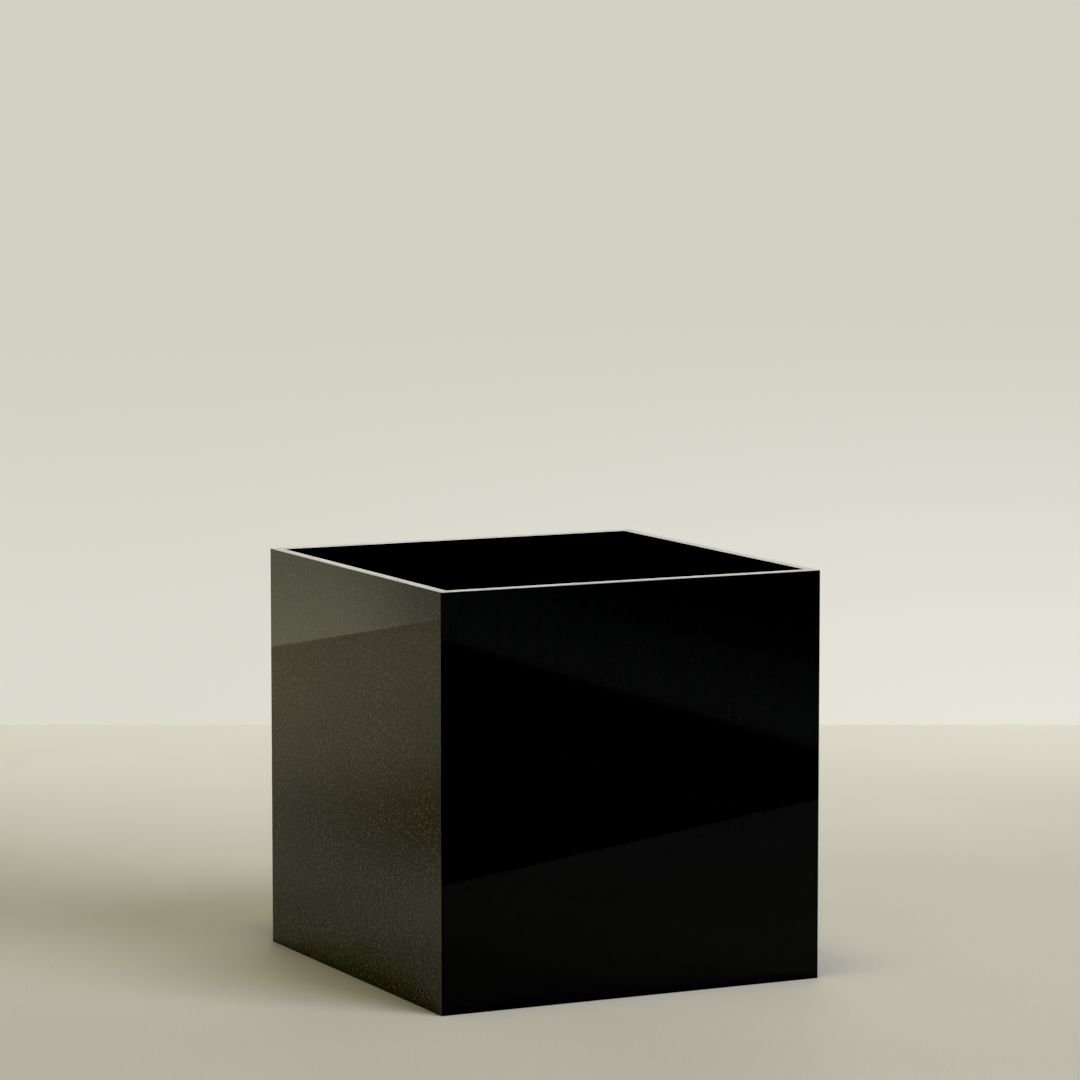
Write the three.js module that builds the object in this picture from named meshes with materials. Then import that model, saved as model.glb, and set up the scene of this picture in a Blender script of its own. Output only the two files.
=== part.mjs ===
// Display cube: an open-topped box of thick black acrylic sheet. Four walls meet in mitred corners,
// the base panel is dropped in between them, flush with their lower edges, and every joint is a
// thin film of acrylic cement. Nothing on it moves.
//
// Millimetres, +Z up. The origin is at floor level under the middle of the box. The front wall
// faces -Y and the right wall faces +X.

import * as THREE from 'three';

// Driving dimensions
const side = 450;        // outside width and depth
const height = 446;      // floor to rim
const sheet = 12;        // thickness of every panel
const arris = 0.5;       // scraped bevel along the long edges of the walls
const cement = 0.3;      // thickness of the film of cement in each joint
const clearance = 0.05;  // air on both faces of a film, so that neighbours never overlap

// Worked out from them
const half = side / 2;
const joint = cement + 2 * clearance;
const mitreSetback = joint / Math.SQRT2;  // along the wall, from the corner's diagonal
const baseHalf = half - sheet - joint;

const acrylic = { color: 0x050505, roughness: 0.05, metalness: 0 };
const cementLook = { color: 0x0b0b0c, roughness: 0.15, metalness: 0 };

// The four sides in order, each a quarter turn on from the one before.
const sides = ['front', 'right', 'rear', 'left'];
const corners = ['front_right', 'rear_right', 'rear_left', 'front_left'];
const quarterTurn = Math.PI / 2;

function piece(name, geometry, look) {
  const mesh = new THREE.Mesh(geometry, new THREE.MeshStandardMaterial(look));
  mesh.name = name;
  return mesh;
}

// A wall's cross-section: across is measured inwards from the outside face, and stretch widens it
// for a cut at a slant. The two top edges and the outer bottom edge are bevelled.
function wallSection(stretch, start) {
  const x = (across) => Math.max(across * stretch, start);
  return new THREE.Shape([
    new THREE.Vector2(x(arris), 0),
    new THREE.Vector2(x(sheet), 0),
    new THREE.Vector2(x(sheet), height - arris),
    new THREE.Vector2(x(sheet - arris), height),
    new THREE.Vector2(x(arris), height),
    new THREE.Vector2(x(0), height - arris),
    new THREE.Vector2(x(0), arris),
  ]);
}

// Turns an extrusion so that its section stands up, with across along +Y and its length along X,
// centred on the origin in X.
function stand(geometry, length) {
  const alongX = new THREE.Vector3(1, 0, 0);
  const alongY = new THREE.Vector3(0, 1, 0);
  const up = new THREE.Vector3(0, 0, 1);
  geometry.translate(0, 0, -length / 2);
  geometry.applyMatrix4(new THREE.Matrix4().makeBasis(alongY, up, alongX));
  return geometry;
}

// The front wall, its outside face at y = -half and its ends cut back at 45 degrees.
function wallGeometry() {
  const section = wallSection(1, 0);
  const geometry = new THREE.ExtrudeGeometry(section, { depth: side, bevelEnabled: false, steps: 1 });
  stand(geometry, side);
  const points = geometry.attributes.position;
  for (let i = 0; i < points.count; i += 1) {
    const end = Math.sign(points.getX(i));
    const across = points.getY(i);
    points.setX(i, end * (half - mitreSetback - across));
  }
  geometry.computeVertexNormals();
  geometry.translate(0, -half, 0);
  return geometry;
}

// The film in the front right corner: the outline of the walls' mitred ends, one film thick. It
// starts half a film in from the corner, where its two faces meet the outside of the walls.
function cornerFilmGeometry() {
  const section = wallSection(Math.SQRT2, cement / 2);
  const geometry = new THREE.ExtrudeGeometry(section, { depth: cement, bevelEnabled: false, steps: 1 });
  stand(geometry, cement);
  geometry.rotateZ(Math.PI / 4);
  geometry.translate(half, -half, 0);
  return geometry;
}

// The film between the front wall and the base panel.
function baseFilmGeometry() {
  const geometry = new THREE.BoxGeometry(2 * baseHalf, cement, sheet);
  geometry.translate(0, -baseHalf - clearance - cement / 2, sheet / 2);
  return geometry;
}

function basePanelGeometry() {
  const geometry = new THREE.BoxGeometry(2 * baseHalf, 2 * baseHalf, sheet);
  geometry.translate(0, 0, sheet / 2);
  return geometry;
}

const group = new THREE.Group();
group.add(piece('base_panel', basePanelGeometry(), acrylic));

sides.forEach((name, i) => {
  const turned = new THREE.Group();
  turned.rotation.z = i * quarterTurn;
  turned.add(piece(`${name}_panel`, wallGeometry(), acrylic));
  turned.add(piece(`${name}_base_joint`, baseFilmGeometry(), cementLook));
  turned.add(piece(`${corners[i]}_corner_joint`, cornerFilmGeometry(), cementLook));
  group.add(turned);
});

export default group;
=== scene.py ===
"""Looks for the acrylic display cube: an open-topped box of gloss black sheet with a pale machined rim.

Metres, +Z up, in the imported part's own frame. Every CAD node is replaced by a finer mesh of the same size:
walls with rounded arrises and mitred ends, an eased base panel, and cement that fills each joint and stands
proud of it in a small fillet inside the box.
"""

import math

import bpy
from mathutils import Matrix, Vector


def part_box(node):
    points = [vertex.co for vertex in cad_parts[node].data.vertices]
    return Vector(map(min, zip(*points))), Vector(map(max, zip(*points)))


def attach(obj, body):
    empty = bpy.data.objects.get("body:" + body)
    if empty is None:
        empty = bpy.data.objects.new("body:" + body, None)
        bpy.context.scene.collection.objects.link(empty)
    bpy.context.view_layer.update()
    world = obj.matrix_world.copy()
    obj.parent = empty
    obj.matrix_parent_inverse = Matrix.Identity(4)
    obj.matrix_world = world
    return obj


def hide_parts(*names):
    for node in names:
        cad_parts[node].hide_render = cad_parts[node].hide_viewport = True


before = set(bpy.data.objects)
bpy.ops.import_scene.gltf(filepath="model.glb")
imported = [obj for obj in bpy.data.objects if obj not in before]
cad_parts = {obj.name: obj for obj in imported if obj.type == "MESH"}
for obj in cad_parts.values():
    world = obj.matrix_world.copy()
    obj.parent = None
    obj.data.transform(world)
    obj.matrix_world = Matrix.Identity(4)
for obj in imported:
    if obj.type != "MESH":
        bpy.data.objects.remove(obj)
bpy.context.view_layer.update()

MM = 0.001
SIDES = ("front", "right", "rear", "left")
CORNERS = ("front_right", "rear_right", "rear_left", "front_left")
BODY = "root"

# ---------------------------------------------------------------------------------------------
# Sizes, read from the frame

front_low, front_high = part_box("front_panel")
base_low, base_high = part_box("base_panel")

HALF = -front_low.y                      # half the outside width
SHEET = front_high.y - front_low.y       # thickness of the sheet
BOTTOM = front_low.z                     # underside of the walls and the base panel
TOP = front_high.z                       # the rim
SETBACK = HALF - front_high.x            # a wall's end, short of the corner, along the wall
FILM = SETBACK * math.sqrt(2)            # width of the gap that the cement fills
BASE_HALF = base_high.x
FLOOR_INSIDE = base_high.z
INSIDE = HALF - SHEET                    # half the inside width

ARRIS = 0.5 * MM                         # radius of the walls' top edges and outer bottom edge
SMALL_EASE = 0.15 * MM                   # radius of edges that were only wiped
FILLET = 1.6 * MM                        # radius of the cement inside the corners
FILLET_STOPS = 5 * MM                    # how far below the rim the fillets end
FILLET_STATIONS = 60                     # sections along a fillet
FILLET_RIPPLE = 0.05                     # how far a hand-laid fillet's radius strays, as a share of it
FILLET_TAPER = (0.1, 0.45, 0.75, 0.9)    # an upright fillet's last radii, from its top down, as shares
SINK = 0.08 * MM                         # how far a fillet's back lies inside the sheet


# ---------------------------------------------------------------------------------------------
# Shader helpers

def add(tree, kind, inputs=None, **settings):
    """A new shader node. inputs maps a socket's name or number to a value or to another node's output."""
    made = tree.nodes.new(kind)
    for key, value in settings.items():
        setattr(made, key, value)
    for key, value in (inputs or {}).items():
        socket = made.inputs[key]
        if isinstance(value, bpy.types.NodeSocket):
            tree.links.new(value, socket)
        else:
            socket.default_value = value
    return made


def maths(tree, operation, first, second=0.0, clamp=False):
    return add(tree, "ShaderNodeMath", {0: first, 1: second}, operation=operation, use_clamp=clamp).outputs[0]


def spread(tree, value, low, high, to_low=0.0, to_high=1.0):
    """value's run from low to high, laid smoothly over to_low to to_high and held at both ends."""
    sockets = {"Value": value, "From Min": low, "From Max": high, "To Min": to_low, "To Max": to_high}
    return add(tree, "ShaderNodeMapRange", sockets, interpolation_type="SMOOTHSTEP").outputs["Result"]


def blend_colours(tree, share, first, second, how="MIX"):
    mix = add(tree, "ShaderNodeMix", data_type="RGBA", blend_type=how)
    for name, value in (("Factor", share), ("A", first), ("B", second)):
        socket = [s for s in mix.inputs if s.name == name and s.enabled][0]
        if isinstance(value, bpy.types.NodeSocket):
            tree.links.new(value, socket)
        else:
            socket.default_value = value
    return [s for s in mix.outputs if s.enabled][0]


def scaled(tree, vector, scale, turn=(0, 0, 0)):
    return add(tree, "ShaderNodeMapping", {"Vector": vector, "Scale": scale, "Rotation": turn}).outputs[0]


def noise(tree, vector, scale, detail=2.0, roughness=0.5):
    sockets = {"Vector": vector, "Scale": scale, "Detail": detail, "Roughness": roughness}
    return add(tree, "ShaderNodeTexNoise", sockets).outputs["Fac"]


def grains(tree, vector, scale, size):
    """Soft round grains of uneven strength, one in each cell of side 1 / scale. size is in cells."""
    cells = add(tree, "ShaderNodeTexVoronoi", {"Vector": vector, "Scale": scale})
    chance = add(tree, "ShaderNodeSeparateColor", {"Color": cells.outputs["Color"]}).outputs["Red"]
    dots = spread(tree, cells.outputs["Distance"], 0.3 * size, size, 1.0, 0.0)
    return maths(tree, "MULTIPLY", dots, maths(tree, "POWER", chance, 3.0))


def bump(tree, height, distance, strength):
    sockets = {"Height": height, "Distance": distance, "Strength": strength}
    return add(tree, "ShaderNodeBump", sockets).outputs["Normal"]


def vector_maths(tree, operation, first, second):
    sockets = {0: first, 1: tuple(second)}
    return add(tree, "ShaderNodeVectorMath", sockets, operation=operation).outputs["Value"]


def new_material(name):
    material = bpy.data.materials.new(name)
    material.use_nodes = True
    tree = material.node_tree
    tree.nodes.clear()
    shader = add(tree, "ShaderNodeBsdfPrincipled")
    output = add(tree, "ShaderNodeOutputMaterial")
    tree.links.new(shader.outputs[0], output.inputs["Surface"])
    return material, tree, shader


def feed(tree, shader, **sockets):
    """Sets or links the shader's sockets, given by name with _ for a space."""
    for name, value in sockets.items():
        socket = shader.inputs[name.replace("_", " ")]
        if isinstance(value, bpy.types.NodeSocket):
            tree.links.new(value, socket)
        else:
            socket.default_value = value


# ---------------------------------------------------------------------------------------------
# Materials. Lengths in the noise scales are per metre.

ACRYLIC_IOR = 1.49
CEMENT_IOR = 1.48
COARSE_DUST = (290, 0.38)                # cells per metre, and the size of a grain in cells
FINE_DUST = (530, 0.33)
DUST_SHEEN_GAIN = 1.65                         # how soon the dust's colour is painted in, as a sheen, as the surface turns away
DUST_SHEEN_POWER = 3.5                         # and how suddenly
DUST_SHEEN_LEAST = 0.03                        # the share of the dust that shows face on, with no painted sheen
SCRATCH_LENGTHS = 6                      # scratches end to end in a metre
LEFT_SHADE_FROM, LEFT_SHADE_TO = 0.65, 1.4           # where the painted shade makes the floor darker and warmer, in metres left of the cube's middle
SHADE_REACH = 0.75                       # how far the floor's shade reaches from its darkest place


def place(tree):
    return add(tree, "ShaderNodeTexCoord").outputs["Object"]


def run(tree):
    """The coordinate stored on each piece: along its length, across its thickness, up."""
    return add(tree, "ShaderNodeAttribute", attribute_name="run").outputs["Vector"]


def hairlines(tree, where, turn, fineness, share):
    """Thin upright scratches: noise drawn out along Z and cut off near its peak. turn picks the pattern."""
    drawn_out = noise(tree, scaled(tree, where, (fineness, fineness, SCRATCH_LENGTHS), turn), 1.0, 1.0)
    return spread(tree, drawn_out, 1 - share, 1 - share + 0.03)


def polished_acrylic():
    """Crisp black gloss under fine dust. The dust's colour is painted in more strongly where the surface is
    seen at a low angle: a painted sheen.
    """
    material, tree, shader = new_material("black_acrylic_polished")
    where = place(tree)
    patches = spread(tree, noise(tree, where, 9, 3), 0.35, 0.7)
    specks = maths(tree, "MAXIMUM", grains(tree, where, *COARSE_DUST), grains(tree, where, *FINE_DUST))
    settled = maths(tree, "MULTIPLY", specks, spread(tree, patches, 0, 1, 0.75, 1.0))
    # Painted sheen: the dust's colour grows with the angle at which the surface is seen, not with the light on
    # it.
    low_angle = add(tree, "ShaderNodeLayerWeight", {"Blend": 0.5}).outputs["Facing"]
    seen = maths(tree, "POWER", maths(tree, "MULTIPLY", low_angle, DUST_SHEEN_GAIN, clamp=True), DUST_SHEEN_POWER)
    seen = maths(tree, "MAXIMUM", seen, DUST_SHEEN_LEAST)
    black, dust_and_sheen = (0.0010, 0.0010, 0.0010, 1), (0.34, 0.324, 0.255, 1)
    colour = blend_colours(tree, maths(tree, "MULTIPLY", settled, seen), black, dust_and_sheen)
    finer = hairlines(tree, where, (0.5, 0.9, 0.3), 900, 0.3)
    coarser = hairlines(tree, where, (1.1, -0.6, 0.8), 700, 0.29)
    scratches = maths(tree, "MAXIMUM", finer, coarser)
    roughness = spread(tree, patches, 0, 1, 0.005, 0.012)
    roughness = maths(tree, "ADD", roughness, maths(tree, "MULTIPLY", scratches, 0.05))
    normal = bump(tree, scratches, 0.0000015, 1.0)
    feed(tree, shader, Base_Color=colour, Roughness=roughness, IOR=ACRYLIC_IOR, Normal=normal)
    return material


def machined_edge():
    """A sawn and scraped edge of the sheet: pale satin grey with lines along it and faint chatter across."""
    material, tree, shader = new_material("black_acrylic_machined_edge")
    where = run(tree)
    lines = noise(tree, scaled(tree, where, (14, 2600, 2600)), 1.0, 3, 0.6)
    chatter = noise(tree, scaled(tree, where, (420, 25, 25)), 1.0, 1)
    patches = noise(tree, scaled(tree, where, (22, 60, 60)), 1.0, 2)
    grain = maths(tree, "ADD", maths(tree, "MULTIPLY", lines, 0.6), maths(tree, "MULTIPLY", chatter, 0.25))
    grain = maths(tree, "ADD", grain, maths(tree, "MULTIPLY", patches, 0.15))
    share = spread(tree, grain, 0.3, 0.7)
    dull, pale = (0.385, 0.396, 0.428, 1), (0.60, 0.616, 0.67, 1)
    colour = blend_colours(tree, share, dull, pale)
    roughness = spread(tree, grain, 0.3, 0.7, 0.5, 0.34)
    normal = bump(tree, grain, 0.00006, 0.6)
    feed(tree, shader, Base_Color=colour, Roughness=roughness, IOR=ACRYLIC_IOR, Normal=normal)
    return material


def cement_line():
    """The same cut through the cement: a little darker, so that a mitre shows as a hairline."""
    material, tree, shader = new_material("acrylic_cement_machined")
    grain = noise(tree, scaled(tree, place(tree), (900, 900, 900)), 1.0, 2)
    dull, pale = (0.21, 0.216, 0.234, 1), (0.42, 0.431, 0.469, 1)
    colour = blend_colours(tree, grain, dull, pale)
    feed(tree, shader, Base_Color=colour, Roughness=spread(tree, grain, 0.3, 0.7, 0.3, 0.5), IOR=ACRYLIC_IOR)
    return material


def cured_cement():
    material, tree, shader = new_material("acrylic_cement")
    where = place(tree)
    ripples = noise(tree, where, 260, 2)
    pinholes = spread(tree, noise(tree, where, 1500, 0), 0.7, 0.76)
    black, pitted = (0.0022, 0.0022, 0.0023, 1), (0.02, 0.02, 0.02, 1)
    colour = blend_colours(tree, pinholes, black, pitted)
    roughness = spread(tree, ripples, 0.3, 0.7, 0.05, 0.14)
    normal = bump(tree, ripples, 0.0002, 0.5)
    feed(tree, shader, Base_Color=colour, Roughness=roughness, IOR=CEMENT_IOR, Normal=normal)
    return material


def painted_floor(left, shaded_at):
    """Matt pale paint with painted shade: darker and warmer towards the left, and darkest round shaded_at, in
    place of a long soft shadow.
    """
    material, tree, shader = new_material("stage_floor")
    where = place(tree)
    away = vector_maths(tree, "DISTANCE", where, shaded_at)
    leftward = vector_maths(tree, "DOT_PRODUCT", where, left)
    fine = noise(tree, where, 420, 3, 0.65)
    broad = noise(tree, where, 1.3, 2)
    tone = maths(tree, "ADD", maths(tree, "MULTIPLY", fine, 0.7), maths(tree, "MULTIPLY", broad, 0.3))
    darkest, palest = (0.541, 0.53, 0.495, 1), (0.654, 0.64, 0.598, 1)
    left_shade_tint, shade_tint = (0.90, 0.87, 0.72, 1), (0.60, 0.585, 0.485, 1)
    colour = blend_colours(tree, spread(tree, tone, 0.3, 0.7), darkest, palest)
    # Painted shade: the floor darker and warmer towards the left.
    colour = blend_colours(tree, spread(tree, leftward, LEFT_SHADE_FROM, LEFT_SHADE_TO), colour, left_shade_tint, "MULTIPLY")
    # Painted shadow, darkest at shaded_at.
    shade = spread(tree, away, 0.0, SHADE_REACH, 1.0, 0.0)
    colour = blend_colours(tree, shade, colour, shade_tint, "MULTIPLY")
    feed(tree, shader, Base_Color=colour, Roughness=spread(tree, fine, 0.3, 0.7, 0.55, 0.7),
         Specular_IOR_Level=0.25, Normal=bump(tree, fine, 0.0006, 0.35))
    return material


POLISHED = polished_acrylic()
MACHINED = machined_edge()
CEMENT_CUT = cement_line()
CEMENT = cured_cement()


# ---------------------------------------------------------------------------------------------
# Mesh helpers

SHARP_FROM = math.radians(40)            # edges sharper than this are not shaded smooth


def make_piece(name, points, faces, materials, face_materials=None, runs=None):
    """A mesh object with its materials and its run coordinate, shaded smooth but for its sharp edges."""
    mesh = bpy.data.meshes.new(name)
    mesh.from_pydata([tuple(p) for p in points], [], faces)
    for material in materials:
        mesh.materials.append(material)
    mesh.polygons.foreach_set("material_index", face_materials or [0] * len(faces))
    mesh.polygons.foreach_set("use_smooth", [True] * len(faces))
    stored = mesh.attributes.new("run", "FLOAT_VECTOR", "POINT")
    for item, value in zip(stored.data, runs or points):
        item.vector = value
    mesh.update()
    mesh.set_sharp_from_angle(angle=SHARP_FROM)
    piece = bpy.data.objects.new(name, mesh)
    bpy.context.scene.collection.objects.link(piece)
    weighted = piece.modifiers.new("flat_faces_stay_flat", "WEIGHTED_NORMAL")
    weighted.keep_sharp = True
    weighted.weight = 100
    return piece


def hand_over(piece, node):
    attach(piece, BODY)
    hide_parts(node)


def quarter_turns(count):
    return Matrix.Rotation(count * math.pi / 2, 4, "Z")


def arc(centre, radius, start_deg, steps):
    """Points of a quarter circle, anticlockwise from start_deg, as (across, up)."""
    made = []
    for i in range(steps + 1):
        angle = math.radians(start_deg + 90 * i / steps)
        made.append((centre[0] + radius * math.cos(angle), centre[1] + radius * math.sin(angle)))
    return made


def rounded_section(width, height, radii, steps=5):
    """A rectangle's outline with rounded corners, anticlockwise from its lower left one, and for each edge
    of it where that edge lies. radii go round the same way."""
    starts = (180, 270, 0, 90)
    names = ("bottom", "inner", "top", "outer")
    arrises = ("lower_arris", "lower_arris", "upper_arris", "upper_arris")
    inward = ((1, 1), (-1, 1), (-1, -1), (1, -1))
    corners = ((0, 0), (width, 0), (width, height), (0, height))
    points, edges = [], []
    for corner, toward, radius, start, arris, name in zip(corners, inward, radii, starts, arrises, names):
        centre = (corner[0] + toward[0] * radius, corner[1] + toward[1] * radius)
        points += arc(centre, radius, start, steps)
        edges += [arris] * steps + [name]
    return points, edges


def strip_faces(count):
    """Quads between two rings of count points, then the two end caps."""
    sides = [(i, (i + 1) % count, count + (i + 1) % count, count + i) for i in range(count)]
    return sides + [tuple(reversed(range(count))), tuple(range(count, 2 * count))]


# ---------------------------------------------------------------------------------------------
# Walls

WALL_RADII = (ARRIS, SMALL_EASE, ARRIS, ARRIS)   # outer bottom, inner bottom, inner top, outer top
WALL_SECTION, WALL_EDGES = rounded_section(SHEET, TOP - BOTTOM, WALL_RADII)
SAWN = ("bottom", "top", "upper_arris")


def wall(name, turns):
    """A wall with mitred ends: polished on both faces, machined on its top and bottom edges."""
    points, runs = [], []
    for end in (-1, 1):
        for across, up in WALL_SECTION:
            along = end * (HALF - SETBACK - across)
            points.append(Vector((along, across - HALF, BOTTOM + up)))
            runs.append((along, across + turns, up))
    count = len(WALL_SECTION)
    faces = [tuple(reversed(f)) for f in strip_faces(count)]
    looks = [1 if edge in SAWN else 0 for edge in WALL_EDGES] + [0, 0]
    points = [quarter_turns(turns) @ p for p in points]
    return make_piece(name, points, faces, [POLISHED, MACHINED], looks, runs)


for turns, side in enumerate(SIDES):
    hand_over(wall(f"{side}_wall", turns), f"{side}_panel")


# ---------------------------------------------------------------------------------------------
# Base panel

def base_slab():
    """The base panel: a slab whose four long edges, top and bottom, are slightly eased."""
    thick = base_high.z - base_low.z
    lower = [(SMALL_EASE * (1 - math.sin(a)), SMALL_EASE * (1 - math.cos(a)))
             for a in (0, math.pi / 6, math.pi / 3, math.pi / 2)]
    upper = [(inset, thick - up) for inset, up in reversed(lower)]
    points = []
    for inset, up in lower + upper:
        reach = BASE_HALF - inset
        for x, y in ((-1, -1), (1, -1), (1, 1), (-1, 1)):
            points.append((x * reach, y * reach, BOTTOM + up))
    levels = len(lower) + len(upper)
    faces = [(3, 2, 1, 0)]
    for level in range(levels - 1):
        for i in range(4):
            j = (i + 1) % 4
            faces.append((4 * level + i, 4 * level + j, 4 * level + 4 + j, 4 * level + 4 + i))
    last = 4 * (levels - 1)
    faces.append((last, last + 1, last + 2, last + 3))
    return make_piece("base_slab", points, faces, [POLISHED])


hand_over(base_slab(), "base_panel")


# ---------------------------------------------------------------------------------------------
# Cement: a film in each joint, and a fillet where it shows inside the box

def fillet_ring(corner, first, second, radius, steps=5):
    """One section of a fillet in the corner between two faces that leave along first and second."""
    middle = corner + (first + second) * radius
    ring = [corner - (first + second) * SINK, corner + first * radius - second * SINK]
    for i in range(steps + 1):
        angle = math.radians(90 * i / steps)
        ring.append(middle - second * radius * math.cos(angle) - first * radius * math.sin(angle))
    ring.append(corner + second * radius - first * SINK)
    return ring


def fillet(start, end, first, second, radii, mitre=None):
    """Points and faces of a fillet from start to end, its radius given at evenly spaced stations."""
    rings = []
    for i, radius in enumerate(radii):
        corner = start.lerp(end, i / (len(radii) - 1))
        rings.append(fillet_ring(corner, first, second, radius))
    if mitre:
        rings[0] = [p + mitre * max(0.0, (p - start).dot(second)) for p in rings[0]]
        rings[-1] = [p - mitre * max(0.0, (p - end).dot(second)) for p in rings[-1]]
    count = len(rings[0])
    points = [p for ring in rings for p in ring]
    faces = []
    for level in range(len(rings) - 1):
        low, high = level * count, (level + 1) * count
        for i in range(count):
            j = (i + 1) % count
            faces.append((low + i, low + j, high + j, high + i))
    faces.append(tuple(reversed(range(count))))
    faces.append(tuple(range(len(points) - count, len(points))))
    return points, faces


def joined(first, second):
    """Two (points, faces, materials) lists as one."""
    shift = len(first[0])
    faces = first[1] + [tuple(i + shift for i in f) for f in second[1]]
    return first[0] + second[0], faces, first[2] + second[2]


def uneven(phase):
    """Radii of a hand-laid fillet: a slow ripple round the nominal radius."""
    ripple = (math.sin(0.9 * i + phase) + 0.6 * math.sin(2.3 * i + 2 * phase) for i in range(FILLET_STATIONS))
    return [FILLET * (1 + FILLET_RIPPLE * r) for r in ripple]


def corner_cement(name, turns):
    inward = Vector((-1, 1, 0)).normalized()
    sideways = Vector((1, 1, 0)).normalized()
    corner = Vector((HALF, -HALF, BOTTOM))
    up = Vector((0, 0, 1))
    points = []
    for face in (-1, 1):
        for across, height in WALL_SECTION:
            reach = max(across * math.sqrt(2), FILM / 2)
            points.append(corner + inward * reach + sideways * (face * FILM / 2) + up * height)
    faces = strip_faces(len(WALL_SECTION))
    looks = [1 if edge in ("top", "upper_arris") else 0 for edge in WALL_EDGES] + [0, 0]
    film = (points, faces, looks)
    foot = Vector((INSIDE, -INSIDE, FLOOR_INSIDE))
    head = Vector((INSIDE, -INSIDE, TOP - FILLET_STOPS))
    radii = uneven(turns)
    for i, share in enumerate(FILLET_TAPER):
        radii[-1 - i] *= share
    bead_points, bead_faces = fillet(foot, head, Vector((0, 1, 0)), Vector((-1, 0, 0)), radii)
    points, faces, looks = joined(film, (bead_points, bead_faces, [0] * len(bead_faces)))
    points = [quarter_turns(turns) @ p for p in points]
    return make_piece(name, points, faces, [CEMENT, CEMENT_CUT], looks)


def base_cement(name, turns):
    """The film between the base panel and one wall, and the fillet above it."""
    outer, inner = -INSIDE, -BASE_HALF
    low, high = BOTTOM + SMALL_EASE, FLOOR_INSIDE - SMALL_EASE
    section = ((outer, low), (inner, low), (inner, high), (outer, high))
    points = [Vector((end * BASE_HALF, y, z)) for end in (-1, 1) for y, z in section]
    faces = [tuple(reversed(f)) for f in strip_faces(4)]
    film = (points, faces, [0] * len(faces))
    start = Vector((-INSIDE, -INSIDE, FLOOR_INSIDE))
    end = Vector((INSIDE, -INSIDE, FLOOR_INSIDE))
    radii = uneven(turns + 0.5)
    along, back, up = Vector((1, 0, 0)), Vector((0, 1, 0)), Vector((0, 0, 1))
    bead_points, bead_faces = fillet(start, end, up, back, radii, mitre=along)
    points, faces, looks = joined(film, (bead_points, bead_faces, [0] * len(bead_faces)))
    points = [quarter_turns(turns) @ p for p in points]
    return make_piece(name, points, faces, [CEMENT], looks)


for turns, (side, corner) in enumerate(zip(SIDES, CORNERS)):
    hand_over(corner_cement(f"{corner}_cement", turns), f"{corner}_corner_joint")
    hand_over(base_cement(f"{side}_base_cement", turns), f"{side}_base_joint")


# ---------------------------------------------------------------------------------------------
# Camera: it looks at the cube's upright axis, just above the rim

VIEW_AZIMUTH = math.radians(26.2)        # from the front wall's normal towards the left wall's
CAMERA_DISTANCE = 5.226
CAMERA_HEIGHT = 1.0494
LOOK_HEIGHT = 0.4668

heading = Vector((math.sin(VIEW_AZIMUTH), math.cos(VIEW_AZIMUTH), 0))
camera = bpy.data.objects.new("camera", bpy.data.cameras.new("camera"))
camera.data.lens = 160
camera.data.sensor_width = 36
camera.data.clip_end = 60
camera.location = -heading * CAMERA_DISTANCE + Vector((0, 0, CAMERA_HEIGHT))
look = Vector((0, 0, LOOK_HEIGHT)) - camera.location
camera.rotation_mode = "QUATERNION"
camera.rotation_quaternion = look.to_track_quat("-Z", "Y")
bpy.context.scene.collection.objects.link(camera)
bpy.context.scene.camera = camera


# ---------------------------------------------------------------------------------------------
# Stage: a pale floor that ends a little way behind the cube. In reflections it also ends in front.

FLOOR_BEHIND = 1.738
FLOOR_IN_FRONT = 0.771
APRON_IN_FRONT = 6.0
FLOOR_ASIDE = 5.0
FLOOR_DROP = 0.05 * MM                   # keeps it clear of the cube's underside

rightward = Vector((heading.y, -heading.x, 0))
SHADED_AT = heading * 0.35 - rightward * 1.05
floor_paint = painted_floor(-rightward, SHADED_AT)


def floor_strip(name, near, far):
    """A strip of floor from near to far, measured from the cube's middle along the heading."""
    down = Vector((0, 0, -FLOOR_DROP))
    corners = [heading * ahead + rightward * aside + down for ahead, aside in (
        (near, -FLOOR_ASIDE), (near, FLOOR_ASIDE), (far, FLOOR_ASIDE), (far, -FLOOR_ASIDE))]
    mesh = bpy.data.meshes.new(name)
    mesh.from_pydata([tuple(p) for p in corners], [], [(0, 1, 2, 3)])
    mesh.materials.append(floor_paint)
    strip = bpy.data.objects.new(name, mesh)
    bpy.context.scene.collection.objects.link(strip)
    return strip


floor_strip("floor", -FLOOR_IN_FRONT, FLOOR_BEHIND)
floor_strip("floor_apron", -APRON_IN_FRONT, -FLOOR_IN_FRONT).visible_glossy = False


# ---------------------------------------------------------------------------------------------
# Light: a pale wall all round for the eye; in reflections it is bright behind and dim in front

WALL_LOW_LEFT = (0.728, 0.713, 0.627, 1)
WALL_LOW_RIGHT = (0.800, 0.784, 0.700, 1)
WALL_HIGH = (0.652, 0.638, 0.554, 1)
WALL_REFLECTED_FOOT = (0.86, 0.82, 0.59, 1)
WALL_REFLECTED = (0.67, 0.64, 0.46, 1)
WALL_REFLECTED_LEFT = (0.25, 0.23, 0.17, 1)
ROOM_REFLECTED = (0.38, 0.36, 0.30, 1)
ROOM_LIT = (0.535, 0.518, 0.458, 1)
CEILING = (0.03, 0.024, 0.010, 1)

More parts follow.
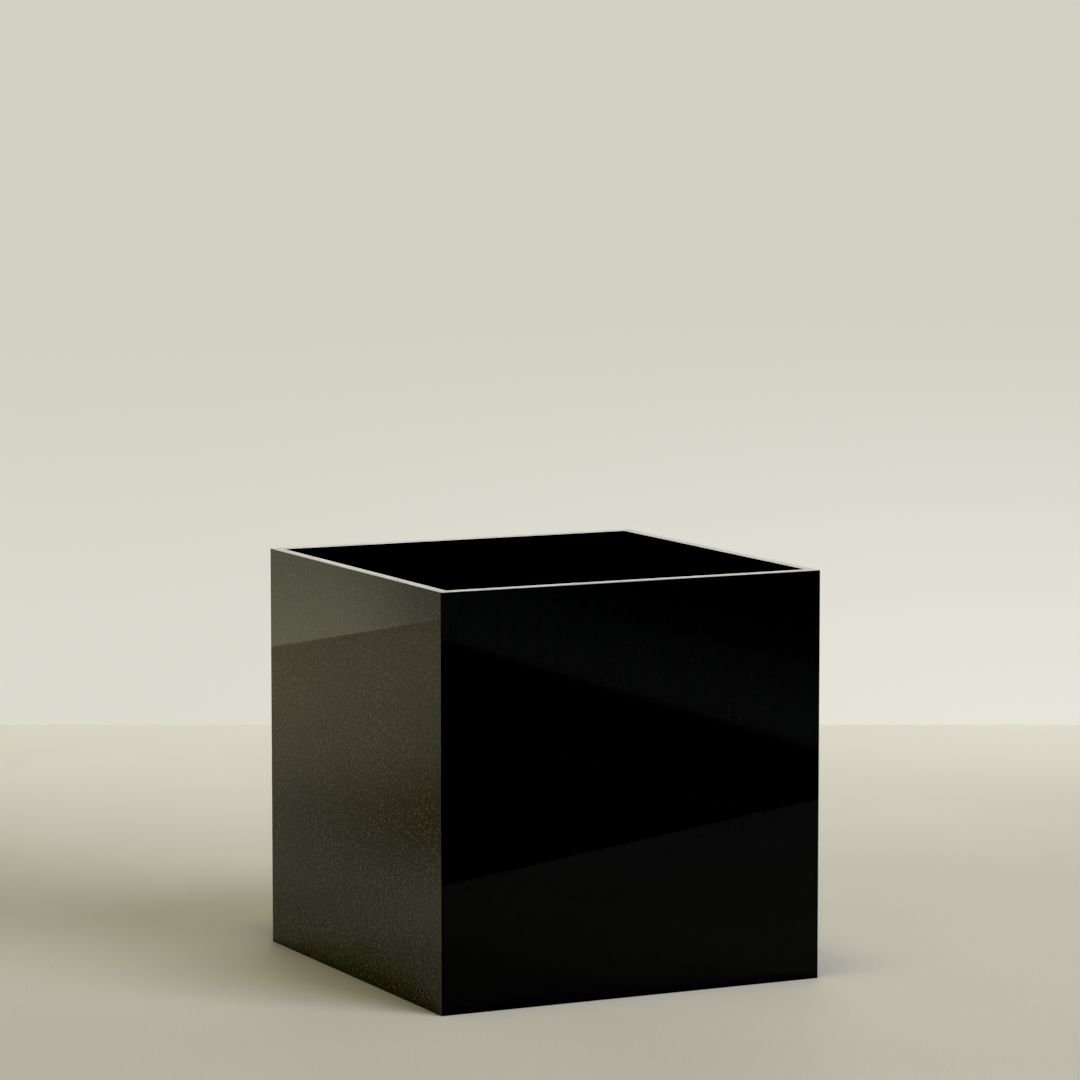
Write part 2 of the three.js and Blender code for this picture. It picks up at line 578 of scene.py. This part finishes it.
# Where each of these gives way to the next: from and to, as the cosine of the angle to the axis named
FOOT_ENDS = (-0.135, -0.11)              # upward
LEFT_ENDS = (-0.776, -0.7585)            # aside
LEFT_SHARE = 0.38                        # of the brighter wall, left of that
BAND_SLOPE = 0.5                         # upward, per unit aside
STREAK_RISES = (0.2345, 0.237)           # slant, which is upward with the slope taken out
STREAK_FALLS = (0.237, 0.2395)
STREAK_STRENGTH = 0.7
BAND_RISES = (0.250, 0.257)
BAND_FADES = (0.257, 0.285)
BAND_REMAINS = 0.6                       # of the band's strength, where it has faded
ROOM_ENDS = (-0.35, 0.45)                # ahead
WALLS_END = (0.3, 0.6)                   # upward
LOW_LEFT_ENDS = (-0.1, 0.1)              # aside
LOW_ENDS = (-0.15, -0.05)                # upward

world = bpy.data.worlds.new("room")
bpy.context.scene.world = world
world.use_nodes = True
sky = world.node_tree
sky.nodes.clear()
direction = add(sky, "ShaderNodeTexCoord").outputs["Generated"]
ahead = vector_maths(sky, "DOT_PRODUCT", direction, heading)
aside = vector_maths(sky, "DOT_PRODUCT", direction, rightward)
upward = vector_maths(sky, "DOT_PRODUCT", direction, Vector((0, 0, 1)))
back_wall = blend_colours(sky, spread(sky, upward, *FOOT_ENDS), WALL_REFLECTED_FOOT, WALL_REFLECTED)
brighter = spread(sky, aside, *LEFT_ENDS, LEFT_SHARE, 1.0)
back_wall = blend_colours(sky, brighter, WALL_REFLECTED_LEFT, back_wall)

# Light falls on the room in front in a soft slanting band, with a thin streak below it.
slant = maths(sky, "ADD", upward, maths(sky, "MULTIPLY", aside, BAND_SLOPE))
band_fades = spread(sky, slant, *BAND_FADES, 1.0, BAND_REMAINS)
band = maths(sky, "MULTIPLY", spread(sky, slant, *BAND_RISES), band_fades)
streak_fades = spread(sky, slant, *STREAK_FALLS, STREAK_STRENGTH, 0.0)
streak = maths(sky, "MULTIPLY", spread(sky, slant, *STREAK_RISES), streak_fades)
room = blend_colours(sky, maths(sky, "MAXIMUM", band, streak), ROOM_REFLECTED, ROOM_LIT)

walls = blend_colours(sky, spread(sky, ahead, *ROOM_ENDS), room, back_wall)
reflected = blend_colours(sky, spread(sky, upward, *WALLS_END), walls, CEILING)
low = blend_colours(sky, spread(sky, aside, *LOW_LEFT_ENDS), WALL_LOW_LEFT, WALL_LOW_RIGHT)
seen = blend_colours(sky, spread(sky, upward, *LOW_ENDS), low, WALL_HIGH)
eye = add(sky, "ShaderNodeLightPath").outputs["Is Camera Ray"]
glow = add(sky, "ShaderNodeBackground", {"Color": blend_colours(sky, eye, reflected, seen), "Strength": 1.0})
world_out = add(sky, "ShaderNodeOutputWorld")
sky.links.new(glow.outputs[0], world_out.inputs["Surface"])


def softbox(name, position, target, size, watts, colour):
    """A rectangular area light at position that faces target. size is (width, height)."""
    lamp = bpy.data.lights.new(name, "AREA")
    lamp.shape = "RECTANGLE"
    lamp.size, lamp.size_y = size
    lamp.energy = watts
    lamp.color = colour
    light = bpy.data.objects.new(name, lamp)
    light.location = position
    light.rotation_mode = "QUATERNION"
    light.rotation_quaternion = (target - position).to_track_quat("-Z", "Y")
    light.visible_camera = False
    bpy.context.scene.collection.objects.link(light)
    return light


def toward(azimuth_deg, elevation_deg):
    """A direction out from the cube. Azimuth is from -Y towards +X."""
    a, e = math.radians(azimuth_deg), math.radians(elevation_deg)
    return Vector((math.sin(a) * math.cos(e), -math.cos(a) * math.cos(e), math.sin(e)))


MIDDLE = Vector((0, 0, (TOP + BOTTOM) / 2))
KEY_AT = MIDDLE + toward(28, 46) * 8.0
OVERHEAD_AT = heading * -0.45 - rightward * 0.1 + Vector((0, 0, 3.2))
WASH_ONTO = heading * 1.6 + rightward * 0.4
WASH_AT = heading * 1.75 + rightward * 0.4 + Vector((0, 0, 0.9))

softbox("key", KEY_AT, MIDDLE, size=(4.0, 4.0), watts=387, colour=(0.90, 0.91, 1.0))
overhead = softbox("overhead", OVERHEAD_AT, MIDDLE, size=(0.8, 0.8), watts=31, colour=(1.0, 0.95, 0.60))
overhead.visible_glossy = False          # its mirror image would fill the box when seen from above
softbox("wall_wash", WASH_AT, WASH_ONTO, size=(6.5, 0.5), watts=26, colour=(1.0, 0.98, 0.90))


# ---------------------------------------------------------------------------------------------
# Tone: plain sRGB, with the deepest blacks let go

BLACK_POINT = (0.0202, 0.0194, 0.0168)

settings = bpy.context.scene.view_settings
settings.view_transform = "Standard"
settings.look = "None"
settings.use_curve_mapping = True
settings.curve_mapping.black_level = BLACK_POINT
settings.curve_mapping.update()

bpy.context.view_layer.update()
